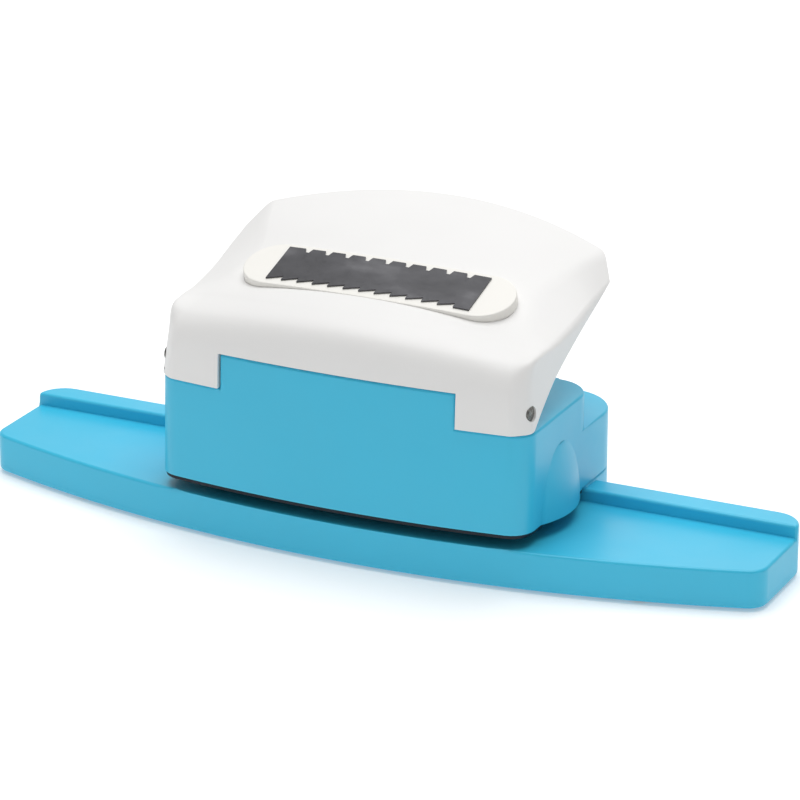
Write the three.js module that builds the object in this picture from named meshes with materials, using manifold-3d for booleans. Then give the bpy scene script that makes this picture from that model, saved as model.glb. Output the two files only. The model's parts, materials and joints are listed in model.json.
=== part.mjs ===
// Border craft punch: a long base with a paper fence, a body that overhangs the paper slot, and a hinged lever
// that drives a toothed punch through a guide plate and a die. Millimetres, +Z up, +X along the base, +Y to the
// back. Heights named *_Z and all plain z values are measured from the base's top deck, and y from the fence's
// front plane; the group at the end is shifted so that the origin is under the middle of the whole punch.
import * as THREE from "three";
import { mergeVertices } from "three/addons/utils/BufferGeometryUtils.js";
import Module from "manifold-3d";

const wasm = await Module();
wasm.setup();
const { PI, cos, sin, sqrt, atan2 } = Math;
const V2 = (x, y) => new THREE.Vector2(x, y);
const V3 = (x, y, z) => new THREE.Vector3(x, y, z);

// ---- Driving dimensions -------------------------------------------------------------------------------------
const BASE_LENGTH = 200; // along X
const BASE_HEIGHT = 9.4; // skirt bottom to top deck
const BASE_OVERSTEP = 0; // how far the base's curved front edge stands ahead of the body's lower front edge
const BASE_FRONT_RADIUS = 310;
const BASE_CORNER = 5;
const BASE_WALL = 2.2;
const DECK_THICKNESS = 2.8;
const FENCE_DEPTH = 6.9; // also the radius of the fence's rear corners
const FENCE_HEIGHT = 3.06;
const TAIL_REAR = 22.8; // rear face of the pedestal and of the body's low rear block
const TAIL_CORNER = 12.4;
const PEDESTAL_Z = 3.95;
const FOOT_STAND = 0.6; // how far the feet stand out below the skirt
const FOOT_RADIUS = 5;
const FOOT_HEIGHT = 2.6;

const BODY_WIDTH = 94.8;
const BODY_FRONT = 38; // how far the middle of the body's lower front edge stands ahead of the fence
const BODY_FRONT_RADIUS = 318;
const BODY_CORNER = 5.8;
const BODY_WALL = 2.3;
const BODY_BOTTOM_Z = 3.6; // over the paper
const SHOULDER_Z = 27.4;
const TOWER_Z = 35.85;
const LEG_WIDTH = 17.4; // each of the lever's two legs, which stand on the body beside the tower
const TOWER_DEPTH = 11.5;
const TAIL_Z = 18.4;
const BLOCK_REAR = 5.3; // rear face of the body's upper block
const BLOCK_CORNER = 9;
const OVERHANG_REAR = -1; // the overhanging part ends here, just ahead of the fence plane
const FRONT_LEAN = 0.045; // the front face leans back by this much per unit of height
const BUMP_HEIGHT = 16.6; // half-cone bulge on each side, from the body's lower edge to its apex
const BUMP_HALF_WIDTH = 11.2;
const BUMP_REACH = 3.1;
const BUMP_Y = -14.8;

const ROD_DIAMETER = 3.4;
const ROD_END_STAND = 0.05; // how far each end stands out of the lever's side
const HINGE_INSET = 7.9; // behind the body's front
const HINGE_Z = 32.1;
const LEVER_TRAVEL_DEG = 21;
const LEVER_WALL = 2.3;
const LEVER_LENGTH = 55.5; // hinge axis to the middle of the rear edge
const LEVER_SIDE_LEAN = 0.19; // each leg leans inwards by this much per unit of height
const LEAN_HEIGHT = 6.4; // from the legs' lower end to where the lean stops
const LEVER_SIDE_FLARE = 0.042; // each side spreads outwards by this much per unit of length towards the rear
const CAM_RADIUS = 17.1; // punch travel per radian of lever
const PRESS_RIB_THICKNESS = 3;

const PATTERN_MARGIN = 21.4; // from each end of the pattern to the body's side
const PATTERN_DEPTH = 13.2;
const TOOTH_DEPTH = 1.5;
const REAR_BUMPS = 10;
const FRONT_TEETH = 13;

const DIE_END = 14; // from the pattern's end to the die's end
const DIE_DEPTH = 21;
const DIE_THICKNESS = 2;
const GUIDE_THICKNESS = 0.8;
const BLADE_TOP_Z = 17;
const CARRIER_TOP_Z = 29;
const CARRIER_END = 2; // from the blade's end to the carrier's end
const CARRIER_DEPTH = 10;
const WING_BOTTOM_Z = 20;
const WING_THICKNESS = 4;
const POST_DIAMETER = 4;
const POST_INSET = 11.4; // from the body's side to each guide post
const POST_TOP_Z = 26.4;
const SPRING_WIRE = 0.8;
const SPRING_TURNS = 5.5;
const BADGE_MARGIN = 13; // from the body's side to the badge's end
const BADGE_DEPTH = 16.4;
const BADGE_THICKNESS = 2.4;
const BADGE_SEAT = 1.2; // floor of the lever's pocket under the badge
const BADGE_BOW = 0.8; // how far the badge's ends lie below its middle, following the lever's crown
const FOIL_THICKNESS = 0.3;

const SEAT_GAP = 0.1; // between faces that rest on each other
const PATTERN_GAP = 0.12; // punch to die and guide plate, all round
const SLIDE_GAP = 0.2; // carrier on its posts
const RUN_GAP = 0.1; // lever on the hinge rod
const MOVE_GAP = 0.3; // other clearances between moving and fixed pieces
const WELD = 0.012; // edges and slivers smaller than this are merged away

// ---- Derived places -----------------------------------------------------------------------------------------
const HALF = BODY_WIDTH / 2;
const BASE_FRONT = BODY_FRONT + BASE_OVERSTEP;
const TOWER_WIDTH = BODY_WIDTH - 2 * LEG_WIDTH;
const HINGE_Y = HINGE_INSET - BODY_FRONT;
const PATTERN_LENGTH = BODY_WIDTH - 2 * PATTERN_MARGIN;
const DIE_LENGTH = PATTERN_LENGTH + 2 * DIE_END;
const CARRIER_WIDTH = PATTERN_LENGTH + 2 * CARRIER_END;
const POST_X = HALF - POST_INSET;
const PRESS_RIB_X = CARRIER_WIDTH / 2 - 10;
const BADGE_LENGTH = BODY_WIDTH - 2 * BADGE_MARGIN;
const TABLE_Z = -(BASE_HEIGHT + FOOT_STAND);
const PUNCH_Y = HINGE_Y + CAM_RADIUS;
const TRAVEL = (CAM_RADIUS * LEVER_TRAVEL_DEG * PI) / 180;
const GUIDE_TOP_Z = BODY_BOTTOM_Z - SEAT_GAP;
const GUIDE_BOTTOM_Z = GUIDE_TOP_Z - GUIDE_THICKNESS;
const BLADE_TIP_Z = GUIDE_BOTTOM_Z + MOVE_GAP;
const ROD_RADIUS = ROD_DIAMETER / 2;
const POST_RADIUS = POST_DIAMETER / 2;
const SIDES = [["left", -1], ["right", 1]];

// ---- Solid helpers ------------------------------------------------------------------------------------------
function solid(geometry) {
  const bare = geometry.clone();
  bare.deleteAttribute("normal");
  bare.deleteAttribute("uv");
  const merged = mergeVertices(bare, 1e-4);
  return new wasm.Manifold(new wasm.Mesh({
    numProp: 3,
    vertProperties: new Float32Array(merged.attributes.position.array),
    triVerts: new Uint32Array(merged.index.array),
  }));
}

function geometryOf(body) {
  const { vertProperties, triVerts } = body.getMesh();
  const g = new THREE.BufferGeometry();
  g.setAttribute("position", new THREE.BufferAttribute(new Float32Array(vertProperties), 3));
  g.setIndex(new THREE.BufferAttribute(new Uint32Array(triVerts), 1));
  return g;
}

// Points on an arc, both ends included.
function arc(cx, cy, r, from, to, steps) {
  const at = (i) => from + ((to - from) * i) / steps;
  return Array.from({ length: steps + 1 }, (_, i) => V2(cx + r * cos(at(i)), cy + r * sin(at(i))));
}

// A flat outline standing from z0 to z1.
function prism(points, z0, z1) {
  const shape = new THREE.Shape(points);
  const g = new THREE.ExtrudeGeometry(shape, { depth: z1 - z0, bevelEnabled: false });
  return solid(g.translate(0, 0, z0));
}

// An outline in the (y, z) plane, running across from x0 to x1.
function crosswise(points, x0, x1) {
  const shape = new THREE.Shape(points);
  const g = new THREE.ExtrudeGeometry(shape, { depth: x1 - x0, bevelEnabled: false });
  g.translate(0, 0, x0);
  return solid(g.applyMatrix4(new THREE.Matrix4().makeBasis(V3(0, 1, 0), V3(0, 0, 1), V3(1, 0, 0))));
}

function box(x0, x1, y0, y1, z0, z1) {
  const g = new THREE.BoxGeometry(x1 - x0, y1 - y0, z1 - z0);
  return solid(g.translate((x0 + x1) / 2, (y0 + y1) / 2, (z0 + z1) / 2));
}

// A solid of revolution about a vertical axis, from [radius, z] pairs that start and end on the axis.
function turned(profile, x, y, segments = 24) {
  const g = new THREE.LatheGeometry(profile.map(([r, z]) => V2(r, z)), segments);
  return solid(g.rotateX(PI / 2).translate(x, y, 0));
}

const post = (r, z0, z1, x, y, segments) => turned([[0, z0], [r, z0], [r, z1], [0, z1]], x, y, segments);

// A round bar along X.
function bar(r, x0, x1, y, z, segments = 32) {
  const g = new THREE.CylinderGeometry(r, r, x1 - x0, segments);
  return solid(g.rotateZ(PI / 2).translate((x0 + x1) / 2, y, z));
}

// Closes a grid of cross-sections into a solid: each row is a closed loop, and the end rows are capped.
function loft(grid) {
  const n = grid[0].length;
  const positions = grid.flat().flatMap((p) => [p.x, p.y, p.z]);
  const index = [];
  for (let j = 0; j + 1 < grid.length; j++)
    for (let i = 0; i < n; i++) {
      const a = j * n + i;
      const b = j * n + ((i + 1) % n);
      index.push(a, b, b + n, a, b + n, a + n);
    }
  for (const [row, flip] of [[0, false], [grid.length - 1, true]]) {
    const at = (i) => row * n + i;
    for (let low = 0, high = n - 1; low < high; low++, high--) {
      const faces = [[at(low), at(high), at(low + 1)]];
      if (high - low > 2) faces.push([at(low + 1), at(high), at(high - 1)]);
      for (const f of faces) if (new Set(f).size === 3) index.push(...(flip ? f.reverse() : f));
    }
  }
  const g = new THREE.BufferGeometry();
  g.setAttribute("position", new THREE.Float32BufferAttribute(positions, 3));
  g.setIndex(index);
  const body = solid(g);
  return body.volume() < 0 ? flipped(g) : body;
}

function flipped(g) {
  const turnedIndex = [];
  const old = g.index.array;
  for (let i = 0; i < old.length; i += 3) turnedIndex.push(old[i], old[i + 2], old[i + 1]);
  g.setIndex(turnedIndex);
  return solid(g);
}

const mirrored = (make) => make(-1).add(make(1));

// ---- Shared outlines ----------------------------------------------------------------------------------------
// Plan outline with a bowed front, rounded front corners and rounded rear corners.
function bowed({ half, front, radius, corner, rear, rearCorner, inset = 0, steps = 24 }) {
  const h = half - inset;
  const R = radius - inset;
  const c = Math.max(corner - inset, 0.4);
  const rc = Math.max(rearCorner - inset, 0.4);
  const back = rear - inset;
  const cy = radius - front;
  const cornerY = cy - sqrt((R - c) ** 2 - (h - c) ** 2);
  const turn = atan2(h - c, cy - cornerY);
  return [
    ...arc(h - rc, back - rc, rc, 0, PI / 2, 8),
    ...arc(-(h - rc), back - rc, rc, PI / 2, PI, 8),
    ...arc(-(h - c), cornerY, c, PI, 1.5 * PI - turn, 6),
    ...arc(0, cy, R, -PI / 2 - turn, -PI / 2 + turn, steps).slice(1, -1),
    ...arc(h - c, cornerY, c, -PI / 2 + turn, 0, 6),
  ];
}

const tailOutline = (inset, front = OVERHANG_REAR + inset) => [
  ...arc(HALF - TAIL_CORNER, TAIL_REAR - TAIL_CORNER, TAIL_CORNER - inset, 0, PI / 2, 10),
  ...arc(-(HALF - TAIL_CORNER), TAIL_REAR - TAIL_CORNER, TAIL_CORNER - inset, PI / 2, PI, 10),
  V2(-(HALF - inset), front),
  V2(HALF - inset, front),
];

const bodyPlan = (inset, rear = BLOCK_REAR, rearCorner = BLOCK_CORNER) =>
  bowed({ half: HALF, front: BODY_FRONT, radius: BODY_FRONT_RADIUS, corner: BODY_CORNER, rear, rearCorner, inset });

// Tilts the front of an upright solid back with height, and leaves its rear upright.
function leaned(body) {
  return body.warp((p) => {
    const forward = Math.min(Math.max((BLOCK_REAR - p[1]) / (BLOCK_REAR + BODY_FRONT), 0), 1);
    p[1] += FRONT_LEAN * (p[2] - BODY_BOTTOM_Z) * forward;
  });
}

// The punched pattern: flat-topped bumps along the rear edge and sawteeth along the front, grown by gap all round.
function patternOutline(gap = 0) {
  const half = PATTERN_LENGTH / 2;
  const rear = PATTERN_DEPTH / 2;
  const points = [];
  const pitch = PATTERN_LENGTH / REAR_BUMPS;
  const notchTop = 0.36 * pitch;
  const notchFloor = 0.17 * pitch;
  points.push(V2(-half - gap, rear + gap));
  for (let i = 1; i < REAR_BUMPS; i++) {
    const x = -half + i * pitch;
    points.push(V2(x - notchTop / 2 + gap, rear + gap), V2(x - notchFloor / 2 + gap, rear - TOOTH_DEPTH + gap));
    points.push(V2(x + notchFloor / 2 - gap, rear - TOOTH_DEPTH + gap), V2(x + notchTop / 2 - gap, rear + gap));
  }
  points.push(V2(half + gap, rear + gap));
  const step = PATTERN_LENGTH / FRONT_TEETH;
  points.push(V2(half + gap, -rear - gap));
  for (let i = 1; i < FRONT_TEETH; i++) {
    const x = half - i * step;
    points.push(V2(x - gap, -rear - gap), V2(x - gap, -rear + TOOTH_DEPTH - gap));
  }
  points.push(V2(-half - gap, -rear - gap));
  return points.reverse();
}

const patternPrism = (gap, z0, z1) => prism(patternOutline(gap), z0, z1).translate([0, PUNCH_Y, 0]);

// ---- Screws -------------------------------------------------------------------------------------------------
const DIE_SCREW = { head: 2.6, shank: 1.2, sink: 1.4, length: 4.2 };
const GUIDE_SCREW = { head: 1.9, shank: 1.1, sink: GUIDE_THICKNESS, length: 5 };
const BODY_SCREW = { head: 3.1, shank: 1.5, sink: 2.2, length: 15 };
const CARRIER_SCREW = { head: 2.6, shank: 1.2, sink: 1.8, length: 11 };

const DIE_SCREW_X = DIE_LENGTH / 2 - 5;
const BODY_SCREW_X = HALF - 29;
const BODY_SCREW_Y = TAIL_REAR - 9;
const CARRIER_SCREW_X = PATTERN_LENGTH / 2 - 14;
const GUIDE_SCREW_X = HALF - 6.2;
const GUIDE_SCREW_FRONT_Y = -BODY_FRONT + 11.2;
const GUIDE_SCREW_REAR_Y = OVERHANG_REAR - 3;
const BODY_SCREW_HEAD_Z = TABLE_Z + FOOT_STAND + 2.4; // lowest face of the head, up inside its boss

// A countersunk screw; its flat head face is at z, and up = 1 when the shank points up.
function countersunk({ head, shank, sink, length }, x, y, z, up) {
  const s = turned([[0, 0], [head, 0], [shank, sink], [shank, length - 0.8], [0, length]], 0, 0, 16);
  return (up > 0 ? s : s.rotate([180, 0, 0])).translate([x, y, z]);
}

// The hole that such a screw sits in.
function screwHole({ head, shank, sink, length }, x, y, z, up, past = 0.3) {
  const g = SEAT_GAP;
  const s = turned([[0, -past], [head + g, -past], [head + g, g], [shank + g, sink + g],
    [shank + g, length + g], [0, length + g]], 0, 0, 16);
  return (up > 0 ? s : s.rotate([180, 0, 0])).translate([x, y, z]);
}

// ---- Base ---------------------------------------------------------------------------------------------------
const baseOutline = (inset) => bowed({
  half: BASE_LENGTH / 2, front: BASE_FRONT, radius: BASE_FRONT_RADIUS, corner: BASE_CORNER,
  rear: FENCE_DEPTH, rearCorner: FENCE_DEPTH, inset, steps: 36,
});

const CHUTE = { halfX: PATTERN_LENGTH / 2 + 1.5, halfY: PATTERN_DEPTH / 2 + 1.5 };
const DIE_SEAT_MARGIN = 3;
const FEET = [];
for (const [side, s] of SIDES) {
  FEET.push(["front_" + side, s * 0.35 * BASE_LENGTH, 17 - BASE_FRONT]);
  FEET.push(["rear_" + side, s * (HALF - 13), TAIL_REAR - 11]);
}

function makeBase() {
  const floor = -BASE_HEIGHT;
  const under = -DECK_THICKNESS;
  const outer = prism(baseOutline(0), floor, 0)
    .add(prism(baseOutline(0), -1, FENCE_HEIGHT).intersect(box(-BASE_LENGTH, BASE_LENGTH, 0, 99, -2, 99)))
    .add(prism(tailOutline(0), floor, PEDESTAL_Z).intersect(box(-HALF, HALF, 0, 99, -99, 99)));
  const hollow = prism(baseOutline(BASE_WALL), floor - 1, under)
    .add(prism(tailOutline(BASE_WALL), floor - 1, PEDESTAL_Z - DECK_THICKNESS));
  let bosses = box(-DIE_LENGTH / 2 - DIE_SEAT_MARGIN, DIE_LENGTH / 2 + DIE_SEAT_MARGIN,
    PUNCH_Y - DIE_DEPTH / 2 - DIE_SEAT_MARGIN, PUNCH_Y + DIE_DEPTH / 2 + DIE_SEAT_MARGIN,
    -DIE_THICKNESS - 3.4, under + 0.5);
  for (const [, x, y] of FEET) bosses = bosses.add(post(FOOT_RADIUS + 2, floor, PEDESTAL_Z - 1, x, y, 24));
  for (const [, s] of SIDES)
    bosses = bosses.add(post(BODY_SCREW.head + 2, floor, PEDESTAL_Z - 1, s * BODY_SCREW_X, BODY_SCREW_Y, 24));
  for (const x of [-0.3, 0.3]) // stiffening ribs along the long deck
    bosses = bosses.add(box(x * BASE_LENGTH - 0.8, x * BASE_LENGTH + 0.8, -99, 99, floor + 1.5, under + 0.5));
  let base = outer.subtract(hollow).add(bosses.intersect(outer));
  const seat = SEAT_GAP;
  base = base.subtract(box(-DIE_LENGTH / 2 - seat, DIE_LENGTH / 2 + seat,
    PUNCH_Y - DIE_DEPTH / 2 - seat, PUNCH_Y + DIE_DEPTH / 2 + seat, -DIE_THICKNESS - seat, 9)
    .subtract(box(-99, 99, 0, 99, -9, 99)));
  base = base.subtract(box(-CHUTE.halfX, CHUTE.halfX, PUNCH_Y - CHUTE.halfY, PUNCH_Y + CHUTE.halfY, floor - 1, 0));
  for (const [, s] of SIDES) {
    base = base.subtract(screwHole(DIE_SCREW, s * DIE_SCREW_X, PUNCH_Y, 0, -1));
    const headRoom = BODY_SCREW_HEAD_Z - floor + 1;
    base = base.subtract(screwHole(BODY_SCREW, s * BODY_SCREW_X, BODY_SCREW_Y, BODY_SCREW_HEAD_Z, 1, headRoom));
  }
  for (const [, x, y] of FEET)
    base = base.subtract(post(FOOT_RADIUS + seat, floor - 1, TABLE_Z + FOOT_HEIGHT + seat, x, y, 24));
  return base;
}

const makeFoot = (x, y) => {
  const top = TABLE_Z + FOOT_HEIGHT;
  return turned([[0, TABLE_Z], [FOOT_RADIUS - 0.5, TABLE_Z], [FOOT_RADIUS, TABLE_Z + 0.5], [FOOT_RADIUS, top],
    [0, top]], x, y, 24);
};

// ---- Die and guide plate ------------------------------------------------------------------------------------
function makeDie() {
  let die = box(-DIE_LENGTH / 2, DIE_LENGTH / 2, PUNCH_Y - DIE_DEPTH / 2, PUNCH_Y + DIE_DEPTH / 2, -DIE_THICKNESS, 0)
    .subtract(patternPrism(PATTERN_GAP, -9, 9));
  for (const [, s] of SIDES) die = die.subtract(screwHole(DIE_SCREW, s * DIE_SCREW_X, PUNCH_Y, 0, -1));
  return die;
}

const guideScrews = [];
for (const [end, y] of [["front", GUIDE_SCREW_FRONT_Y], ["rear", GUIDE_SCREW_REAR_Y]])
  for (const [side, s] of SIDES) guideScrews.push([end + "_" + side, s * GUIDE_SCREW_X, y]);

const GUIDE_INSET = 0.3;

function makeGuidePlate() {
  const outline = bodyPlan(GUIDE_INSET, OVERHANG_REAR + GUIDE_INSET, 1);
  let plate = prism(outline, GUIDE_BOTTOM_Z, GUIDE_TOP_Z).subtract(patternPrism(PATTERN_GAP, -9, 9));
  for (const [, x, y] of guideScrews) plate = plate.subtract(screwHole(GUIDE_SCREW, x, y, GUIDE_BOTTOM_Z, 1));
  for (const [, s] of SIDES)
    plate = plate.subtract(post(POST_RADIUS + SEAT_GAP, -9, 9, s * POST_X, PUNCH_Y, 24));
  return plate;
}

// ---- Body ---------------------------------------------------------------------------------------------------
// One side bulge: an arch on the side face that swells outwards towards the body's lower edge.
function makeBump(side) {
  const root = HALF - 1.5;
  const rows = 12;
  const columns = 15;
  const grid = [];
  for (let j = 0; j <= rows; j++) {
    const up = 0.995 * sin((PI / 2) * (j / rows));
    const half = BUMP_HALF_WIDTH * sqrt(1 - up * up);
    const swell = BUMP_REACH * (1 - up) ** 0.8;
    const across = (i) => (2 * i) / (columns - 1) - 1;
    const z = BODY_BOTTOM_Z + BUMP_HEIGHT * up;
    const row = Array.from({ length: columns }, (_, i) =>
      V3(side * (HALF + swell * (1 - across(i) ** 2)), BUMP_Y + half * across(i), z));
    grid.push([V3(side * root, BUMP_Y - half, z), ...row, V3(side * root, BUMP_Y + half, z)]);
  }
  return loft(grid);
}

function makeBodyShell() {
  const bottom = BODY_BOTTOM_Z;
  const inner = SHOULDER_Z - BODY_WALL;
  const seam = PEDESTAL_Z + SEAT_GAP;
  const everywhere = 99;
  let outer = leaned(prism(bodyPlan(0), bottom, TOWER_Z).subtract(mirrored((s) => {
    const cut = TOWER_WIDTH / 2;
    return s < 0 ? box(-everywhere, -cut, -everywhere, everywhere, SHOULDER_Z, everywhere)
      : box(cut, everywhere, -everywhere, everywhere, SHOULDER_Z, everywhere);
  })));
  outer = outer.subtract(box(-everywhere, everywhere, -BODY_FRONT + TOWER_DEPTH, everywhere, SHOULDER_Z, everywhere));
  outer = outer.add(prism(tailOutline(0, BLOCK_REAR - BLOCK_CORNER - 0.5), seam, TAIL_Z)); // no step where they meet
  outer = outer.add(mirrored(makeBump));
  outer = outer.subtract(box(-everywhere, everywhere, OVERHANG_REAR, everywhere, -9, seam));
  // Front hollow, open below, with the tower's own hollow above it; the tail's hollow is open to the pedestal.
  const w = BODY_WALL;
  let hollow = leaned(prism(bodyPlan(w, OVERHANG_REAR, 1), bottom - 1, inner));
  hollow = hollow.add(box(-TOWER_WIDTH / 2 + 6, TOWER_WIDTH / 2 - 6, -BODY_FRONT + w + 1.6,
    -BODY_FRONT + TOWER_DEPTH - w, inner - 1, TOWER_Z - w));
  hollow = hollow.add(prism(tailOutline(w), seam - 1, TAIL_Z - w));
  let ribs = mirrored((s) => post(BODY_SCREW.shank + 2.2, seam, TAIL_Z - 1, s * BODY_SCREW_X, BODY_SCREW_Y, 24));
  for (const [, x, y] of guideScrews) ribs = ribs.add(post(GUIDE_SCREW.shank + 2.2, bottom, inner + 1, x, y, 20));
  for (const [, s] of SIDES) // sockets for the tops of the guide posts
    ribs = ribs.add(post(POST_RADIUS + 2, POST_TOP_Z - 1.6, inner + 1, s * POST_X, PUNCH_Y, 24));
  let body = outer.subtract(hollow).add(ribs.intersect(outer));
  // Deck opening for the carrier and the lever's ribs, cut open towards the tower.
  body = body.subtract(box(-CARRIER_WIDTH / 2 - 1, CARRIER_WIDTH / 2 + 1, PUNCH_Y - CARRIER_DEPTH / 2 - 2.2,
    PUNCH_Y + CARRIER_DEPTH / 2 + 3, inner - 1, everywhere));
  for (const [, s] of SIDES) {
    body = body.subtract(post(POST_RADIUS + SEAT_GAP, 0, POST_TOP_Z + SEAT_GAP, s * POST_X, PUNCH_Y, 24));
    body = body.subtract(screwHole(BODY_SCREW, s * BODY_SCREW_X, BODY_SCREW_Y, BODY_SCREW_HEAD_Z, 1));
  }
  for (const [, x, y] of guideScrews) body = body.subtract(screwHole(GUIDE_SCREW, x, y, GUIDE_BOTTOM_Z, 1));
  return body.subtract(bar(ROD_RADIUS + SEAT_GAP, -HALF, HALF, HINGE_Y, HINGE_Z));
}

// ---- Punch --------------------------------------------------------------------------------------------------
function makeBlade() {
  let blade = patternPrism(0, BLADE_TIP_Z, BLADE_TOP_Z);
  for (const [, s] of SIDES)
    blade = blade.subtract(screwHole(CARRIER_SCREW, s * CARRIER_SCREW_X, PUNCH_Y, CARRIER_HEAD_Z, -1));
  return blade;
}

const CARRIER_HEAD_Z = CARRIER_TOP_Z - 4;

function makeCarrier() {
  const half = CARRIER_DEPTH / 2;
  let carrier = box(-CARRIER_WIDTH / 2, CARRIER_WIDTH / 2, PUNCH_Y - half, PUNCH_Y + half,
    BLADE_TOP_Z + SEAT_GAP, CARRIER_TOP_Z);
  const wing = POST_X + POST_RADIUS + 2;
  const wingTop = WING_BOTTOM_Z + WING_THICKNESS;
  carrier = carrier.add(box(-wing, wing, PUNCH_Y - half, PUNCH_Y + half, WING_BOTTOM_Z, wingTop));
  for (const [, s] of SIDES) {
    carrier = carrier.subtract(post(POST_RADIUS + SLIDE_GAP, 0, 99, s * POST_X, PUNCH_Y, 24));
    carrier = carrier.subtract(screwHole(CARRIER_SCREW, s * CARRIER_SCREW_X, PUNCH_Y, CARRIER_HEAD_Z, -1, 9));
  }
  return carrier;
}

const makePost = (x) => turned([[0, GUIDE_BOTTOM_Z], [POST_RADIUS, GUIDE_BOTTOM_Z], [POST_RADIUS, POST_TOP_Z - 0.5],
  [POST_RADIUS - 0.5, POST_TOP_Z], [0, POST_TOP_Z]], x, PUNCH_Y, 24);

const SPRING_RADIUS = POST_RADIUS + 0.5 + SPRING_WIRE / 2;
const SPRING_BOTTOM_Z = GUIDE_TOP_Z + SEAT_GAP;

class Helix extends THREE.Curve {
  constructor(radius, turns, low, high) {
    super();
    Object.assign(this, { radius, turns, low, high });
  }
  getPoint(t, target = V3()) {
    const a = 2 * PI * this.turns * t;
    return target.set(this.radius * cos(a), this.radius * sin(a), this.low + (this.high - this.low) * t);
  }
}

function makeSpring(x) {
  const r = SPRING_WIRE / 2;
  const wire = new THREE.Shape(arc(0, 0, r, 0, 2 * PI, 6).slice(1));
  const path = new Helix(SPRING_RADIUS, SPRING_TURNS, SPRING_BOTTOM_Z + r, WING_BOTTOM_Z - SEAT_GAP - r);
  const steps = Math.round(SPRING_TURNS * 10);
  const g = new THREE.ExtrudeGeometry(wire, { steps, extrudePath: path, bevelEnabled: false });
  return solid(g).translate([x, PUNCH_Y, 0]);
}

// ---- Lever --------------------------------------------------------------------------------------------------
// The skin is a fan of cross-sections, each from the middle line over a soft crease and a side bevel down the side.
// Places are relative to the hinge axis: y behind it, z above it, and inset from the lever's side at the hinge.
const reach = LEVER_LENGTH / 55.5;
const MIDDLE = [
  [-7.3, -5.5], [-6, 7.9], [-3.8, 12.8], [1.9, 16.1], [10.5, 18.3], [26.1, 22.6], [41.1, 26.3], [55.5, 29.2],
]; // y, z of the middle line
const CREASE = [
  [3.4, -4.7, -5.5], [4.2, -3.6, 6.7], [5.2, -0.6, 10.8], [6.8, 7.1, 13.3],
  [8.6, 14.6, 15.3], [11, 27.6, 19.5], [7, 38.9, 22.6], [3.6, 47.7, 23.7],
]; // inset, y, z of the line between the top and the bevel
const SHOULDER = [
  [-1.3, -5.5], [-0.2, 5.9], [1.5, 11.6], [6.7, 12.5], [12.3, 12.4], [23.5, 13.9], [32.8, 16.2], [41.3, 18.1],
]; // y, z of the line between the bevel and the side
const SKIRT = [
  [6.1, -5.5], [9.4, -2.3], [15.1, 1.3], [18.5, 3.6], [22.3, 5.1], [28.5, 7.5], [35.4, 10], [40.6, 11.8],
]; // y, z where each cross-section stops, below the finished lower edge

const sideX = (y, z) => HALF - LEVER_SIDE_LEAN * Math.min(z + HINGE_Z - SHOULDER_Z, LEAN_HEIGHT)
  + LEVER_SIDE_FLARE * Math.max(y + 1.5, 0);
const stretch = (y) => (y > 0 ? y * reach : y);
const curve = (points) => new THREE.CatmullRomCurve3(points, false, "centripetal");
const middleCurve = curve(MIDDLE.map(([y, z]) => V3(0, stretch(y), z)));
const creaseCurve = curve(CREASE.map(([inset, y, z]) => V3(HALF - inset, stretch(y), z)));
const shoulderCurve = curve(SHOULDER.map(([y, z]) => V3(sideX(y, z), stretch(y), z)));
const skirtCurve = curve(SKIRT.map(([y, z]) => V3(sideX(y, z), stretch(y), z)));

// A soft corner at b between a and c, starting and ending at the given distance from b.
function softCorner(a, b, c, distance, steps) {
  const from = b.clone().lerp(a, Math.min(distance / a.distanceTo(b), 0.45));
  const to = b.clone().lerp(c, Math.min(distance / c.distanceTo(b), 0.45));
  const bend = new THREE.QuadraticBezierCurve3(from, b, to);
  return bend.getPoints(steps);
}

// One right-hand half of a cross-section, from the middle line to the skirt.
function halfSection(t, crownSteps, bendSteps) {
  const middle = middleCurve.getPoint(t);
  const crease = creaseCurve.getPoint(t);
  const shoulder = shoulderCurve.getPoint(t);
  const skirt = skirtCurve.getPoint(t);
  const crown = (u) => V3(crease.x * u, 0, 0).setY(middle.y + (crease.y - middle.y) * u * u)
    .setZ(middle.z + (crease.z - middle.z) * u * u);
  const points = [];
  for (let i = 0; i < crownSteps; i++) points.push(crown((0.94 * i) / crownSteps));
  points.push(...softCorner(crown(0.94), crease, shoulder, 2.6, bendSteps));
  points.push(...softCorner(crease, shoulder, skirt, 1.6, bendSteps));
  points.push(skirt);
  return points;
}

// The whole grid of skin points: rows from the leg bottoms over the top to the rear edge and down the rear face.
function leverGrid(rows, crownSteps, bendSteps) {
  const grid = [];
  for (let j = 0; j <= rows; j++) {
    const half = halfSection(j / rows, crownSteps, bendSteps);
    const other = half.slice(1).map((p) => V3(-p.x, p.y, p.z)).reverse();
    grid.push([...other, ...half]);
  }
  const last = grid[rows];
  const edge = 0.7; // softened rear edge
  grid.push(last.map((p) => V3(p.x, p.y + 0.3, p.z - edge)));
  const low = SKIRT[SKIRT.length - 1][1] - 3;
  grid.push(last.map((p) => V3(p.x, p.y + 0.3, Math.min(low, p.z - edge))));
  return grid;
}

// The same grid moved inwards by the wall, along the skin's own normals.
function shrunkGrid(grid, wall) {
  const rows = grid.length;
  const n = grid[0].length;
  return grid.map((row, j) => row.map((p, i) => {
    const along = grid[Math.min(j + 1, rows - 1)][i].clone().sub(grid[Math.max(j - 1, 0)][i]);
    const across = grid[j][Math.min(i + 1, n - 1)].clone().sub(grid[j][Math.max(i - 1, 0)]);
    const inward = along.cross(across).normalize();
    return p.clone().addScaledVector(inward, wall);
  }));
}

// ---- Badge --------------------------------------------------------------------------------------------------
const BADGE_MIDDLE = V3(0, stretch(16.9), 20.25); // top face's middle, relative to the hinge
const BADGE_SLOPE = 0.293 / reach;

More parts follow.
